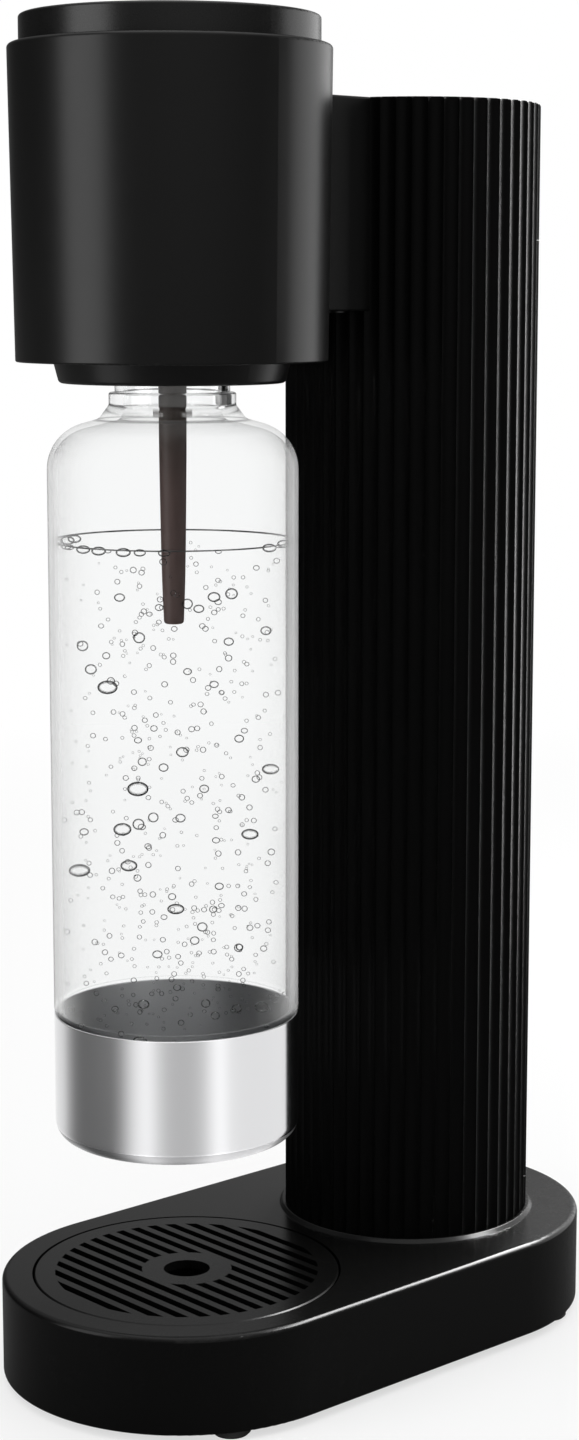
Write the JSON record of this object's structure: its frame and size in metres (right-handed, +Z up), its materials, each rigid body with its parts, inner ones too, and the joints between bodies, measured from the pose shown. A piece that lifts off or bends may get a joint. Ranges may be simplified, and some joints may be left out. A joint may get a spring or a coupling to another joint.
{
  "type": "soda carbonator",
  "caption": "Home soda carbonator: fluted column with a gas cylinder, round head with a press button, clear bottle in a metal cup, and a flat base with a drip tray.",
  "frame": {"origin": "centre of the base's footprint, on the surface that the feet stand on", "axes": "+Z up, -Y towards the bottle and drip tray, +Y towards the fluted column, +X to the right seen from the front"},
  "size_m": [0.1272, 0.2332, 0.4578],
  "materials": {
    "satin_black": "satin moulded plastic",
    "black_button": "satin moulded plastic",
    "inner_black": "moulded plastic",
    "inner_grey": "glass-filled plastic",
    "black_rubber": "matt rubber",
    "seal_rubber": "soft silicone",
    "steel": "plain",
    "screw_steel": "zinc plated",
    "cup_steel": "satin brushed",
    "cylinder_metal": "satin lacquered",
    "brass": "machined",
    "clear_bottle": "clear moulded plastic",
    "nozzle_brown": "smoked plastic",
    "tube_white": "smooth flexible tube"
  },
  "bodies": {
    "machine": {"base_shell": "satin_black", "base_plate": "inner_black", "feet": "black_rubber", "base_screws": "screw_steel", "cylinder_cradle": "inner_black", "column_shell": "satin_black", "column_cap": "satin_black", "column_screws": "screw_steel", "valve_block": "brass", "relief_valve": "brass", "gas_seal": "seal_rubber", "valve_bracket": "steel", "bracket_screws": "screw_steel", "lever_pin": "steel", "gas_tube": "tube_white", "arm_housing": "satin_black", "arm_cover": "satin_black", "arm_screws": "screw_steel", "head_housing": "satin_black", "guide_plate": "inner_grey", "head_screws": "screw_steel", "collar": "satin_black", "bottle_socket": "inner_grey", "socket_screws": "screw_steel", "bottle_seal": "seal_rubber", "nozzle": "nozzle_brown", "nozzle_fitting": "inner_black", "button_spring": "steel"},
    "button": {"carbonate_button": "black_button"},
    "lever": {"lever": "steel"},
    "push_rod": {"push_rod": "steel"},
    "cylinder": {"co2_cylinder": "cylinder_metal", "cylinder_valve": "brass"},
    "cylinder_pin": {"cylinder_pin": "steel"},
    "rear_cover": {"rear_cover": "satin_black"},
    "bottle": {"bottle_body": "clear_bottle", "bottle_neck": "clear_bottle", "bottle_cup": "cup_steel"},
    "tray": {"drip_tray": "satin_black"},
    "grille": {"drip_grille": "satin_black"}
  },
  "joints": [
    {"name": "button_press", "type": "slide", "parent": "machine", "child": "button", "axis": [0, 0, -1], "range_m": [0, 0.008], "stiffness_N_per_m": 900, "springref_m": -0.006, "deforming": ["button_spring"]},
    {"name": "lever_swing", "type": "hinge", "parent": "machine", "child": "lever", "pos_m": [0, 0.08, 0.4084], "axis": [1, 0, 0], "range_deg": [0, 3.35]},
    {"name": "push_rod_slide", "type": "slide", "parent": "machine", "child": "push_rod", "axis": [0, 0, -1], "range_m": [0, 0.0016]},
    {"name": "cylinder_pin_slide", "type": "slide", "parent": "cylinder", "child": "cylinder_pin", "axis": [0, 0, -1], "range_m": [0, 0.0016]},
    {"name": "cylinder_draw", "type": "slide", "parent": "machine", "child": "cylinder", "axis": [0, 0, -1], "range_m": [0, 0.01]},
    {"name": "rear_cover_pull", "type": "slide", "parent": "machine", "child": "rear_cover", "axis": [0, 1, 0], "range_m": [0, 0.04]},
    {"name": "bottle_draw", "type": "slide", "parent": "machine", "child": "bottle", "axis": [0, 0, -1], "range_m": [0, 0.025]},
    {"name": "tray_lift", "type": "slide", "parent": "machine", "child": "tray", "axis": [0, 0, 1], "range_m": [0, 0.018]},
    {"name": "grille_lift", "type": "slide", "parent": "tray", "child": "grille", "axis": [0, 0, 1], "range_m": [0, 0.006]}
  ],
  "couplings": [
    {"joint": "lever_swing", "follows": "button_press", "rad_per_m": 7.3086},
    {"joint": "push_rod_slide", "follows": "button_press", "ratio": 0.19722},
    {"joint": "cylinder_pin_slide", "follows": "button_press", "ratio": 0.19722}
  ]
}
